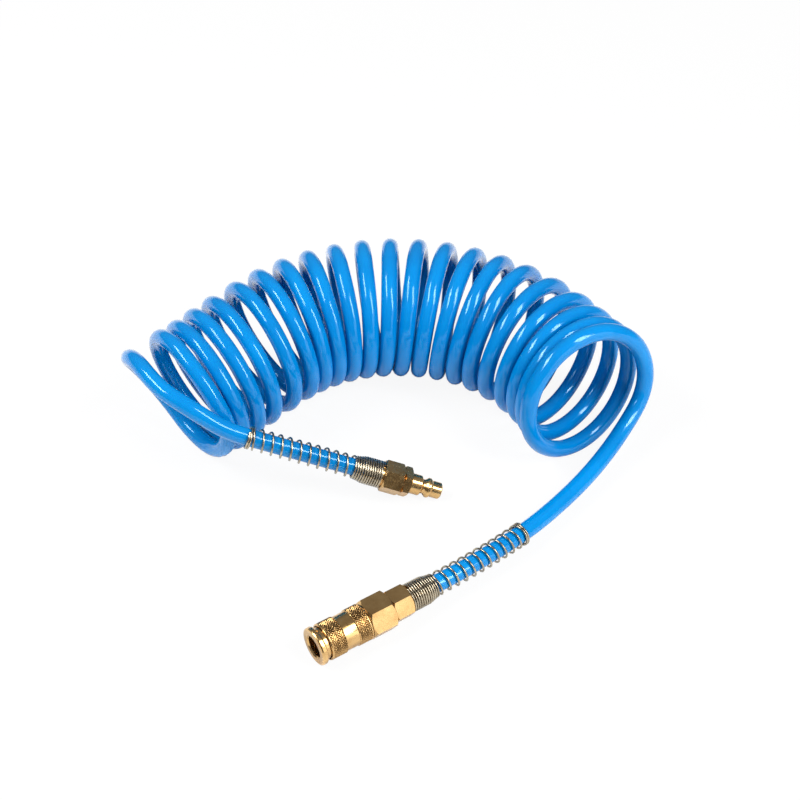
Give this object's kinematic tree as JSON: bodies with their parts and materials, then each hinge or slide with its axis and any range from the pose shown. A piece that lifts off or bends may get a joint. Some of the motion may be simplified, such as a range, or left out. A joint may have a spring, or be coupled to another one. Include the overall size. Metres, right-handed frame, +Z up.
{
  "type": "coiled air hose",
  "caption": "Spiral-wound compressed-air hose resting in an arc, with a plug on one end, an automatic quick coupler on the other and spring bend guards.",
  "frame": {"origin": "centre of the bounding box of the whole hose as it lies, on the surface it rests on", "axes": "+Z up; +X along the longest side, from the loose-loop end of the coil towards the end that carries the coupler's tail; +Y from the fittings towards the middle of the coil's arc"},
  "size_m": [0.3125, 0.2961, 0.085],
  "materials": {
    "hose": "glossy, slightly translucent blue polyurethane",
    "brass": "turned and polished",
    "spring_steel": "nickel-plated wire",
    "ball_steel": "polished",
    "seal_rubber": "black nitrile"
  },
  "bodies": {
    "hose": {"hose_coil": "hose", "hose_tail_plug": "hose", "hose_tail_coupler": "hose", "plug_body": "brass", "plug_nut": "brass", "plug_spring_guard": "spring_steel", "coupler_body": "brass", "coupler_adapter": "brass", "coupler_nut": "brass", "coupler_spring_guard": "spring_steel", "sleeve_spring": "spring_steel", "valve_spring": "spring_steel", "body_seal": "seal_rubber"},
    "sleeve": {"coupler_sleeve": "brass"},
    "valve": {"valve_poppet": "brass", "valve_seal": "seal_rubber", "tip_seal": "seal_rubber"},
    "ball_1": {"lock_ball_1": "ball_steel"},
    "ball_2": {"lock_ball_2": "ball_steel"},
    "ball_3": {"lock_ball_3": "ball_steel"},
    "ball_4": {"lock_ball_4": "ball_steel"}
  },
  "joints": [
    {"name": "sleeve_slide", "type": "slide", "parent": "hose", "child": "sleeve", "axis": [-0.831, -0.5563, 0], "range_m": [0, 0.002], "deforming": ["sleeve_spring"]},
    {"name": "valve_slide", "type": "slide", "parent": "hose", "child": "valve", "axis": [0.831, 0.5563, 0], "range_m": [0, 0.0047], "stiffness_N_per_m": 500, "springref_m": -0.006, "deforming": ["valve_spring"]},
    {"name": "ball_1_slide", "type": "slide", "parent": "hose", "child": "ball_1", "axis": [-0.3934, 0.5876, -0.7071], "range_m": [0, 0.00092]},
    {"name": "ball_2_slide", "type": "slide", "parent": "hose", "child": "ball_2", "axis": [-0.3934, 0.5876, 0.7071], "range_m": [0, 0.00092]},
    {"name": "ball_3_slide", "type": "slide", "parent": "hose", "child": "ball_3", "axis": [0.3934, -0.5876, 0.7071], "range_m": [0, 0.00092]},
    {"name": "ball_4_slide", "type": "slide", "parent": "hose", "child": "ball_4", "axis": [0.3934, -0.5876, -0.7071], "range_m": [0, 0.00092]}
  ],
  "couplings": [
    {"joint": "valve_slide", "follows": "sleeve_slide", "ratio": 2.35},
    {"joint": "ball_1_slide", "follows": "sleeve_slide", "ratio": 0.46},
    {"joint": "ball_2_slide", "follows": "sleeve_slide", "ratio": 0.46},
    {"joint": "ball_3_slide", "follows": "sleeve_slide", "ratio": 0.46},
    {"joint": "ball_4_slide", "follows": "sleeve_slide", "ratio": 0.46}
  ]
}
